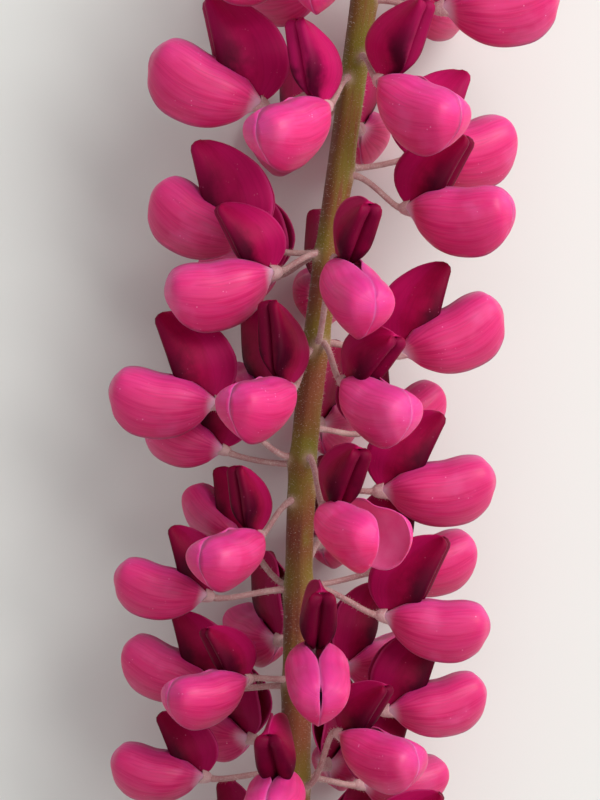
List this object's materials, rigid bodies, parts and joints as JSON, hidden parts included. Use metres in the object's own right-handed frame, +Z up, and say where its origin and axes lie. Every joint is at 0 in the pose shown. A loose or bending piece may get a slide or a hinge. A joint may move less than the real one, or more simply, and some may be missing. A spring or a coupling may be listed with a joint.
{
  "type": "lupin flower spike",
  "caption": "Picked lupin flower spike lying flat: whorls of pea-like flowers with swollen pink wings and folded crimson banners on a bare-cut stem, with a young budded tip.",
  "frame": {"origin": "middle of the bounding box, on the surface that the spike lies on", "axes": "+Y along the stem towards the young tip, +Z up from the surface to the spike's front, +X to its right"},
  "size_m": [0.062, 0.227, 0.0442],
  "materials": {
    "wings": "satin",
    "banner": "satin",
    "keel": "satin",
    "calyx": "matte",
    "stalk": "matte",
    "stem": "satin",
    "buds": "matte"
  },
  "bodies": {
    "root": {"flower_1_1": "wings", "flower_1_2": "wings", "flower_1_3": "wings", "flower_1_4": "wings", "flower_1_5": "wings", "flower_1_6": "wings", "flower_2_1": "wings", "flower_2_2": "wings", "flower_2_3": "wings", "flower_2_4": "wings", "flower_2_5": "wings", "flower_2_6": "wings", "flower_3_1": "wings", "flower_3_2": "wings", "flower_3_3": "wings", "flower_3_4": "wings", "flower_3_5": "wings", "flower_3_6": "wings", "flower_4_1": "wings", "flower_4_2": "wings", "flower_4_3": "wings", "flower_4_4": "wings", "flower_4_5": "wings", "flower_4_6": "wings", "flower_4_7": "wings", "flower_4_8": "wings", "flower_5_1": "wings", "flower_5_2": "wings", "flower_5_3": "wings", "flower_5_4": "wings", "flower_5_5": "wings", "flower_5_6": "wings", "flower_5_7": "wings", "flower_5_8": "wings", "flower_6_1": "wings", "flower_6_2": "wings", "flower_6_3": "wings", "flower_6_4": "wings", "flower_6_5": "wings", "flower_6_6": "wings", "flower_6_7": "wings", "flower_7_1": "wings", "flower_7_2": "wings", "flower_7_3": "wings", "flower_7_4": "wings", "flower_7_5": "wings", "flower_8_1": "wings", "flower_8_2": "wings", "flower_8_3": "wings", "flower_8_4": "wings", "flower_8_5": "wings", "flower_8_6": "wings", "stem": "stem"}
  },
  "joints": []
}
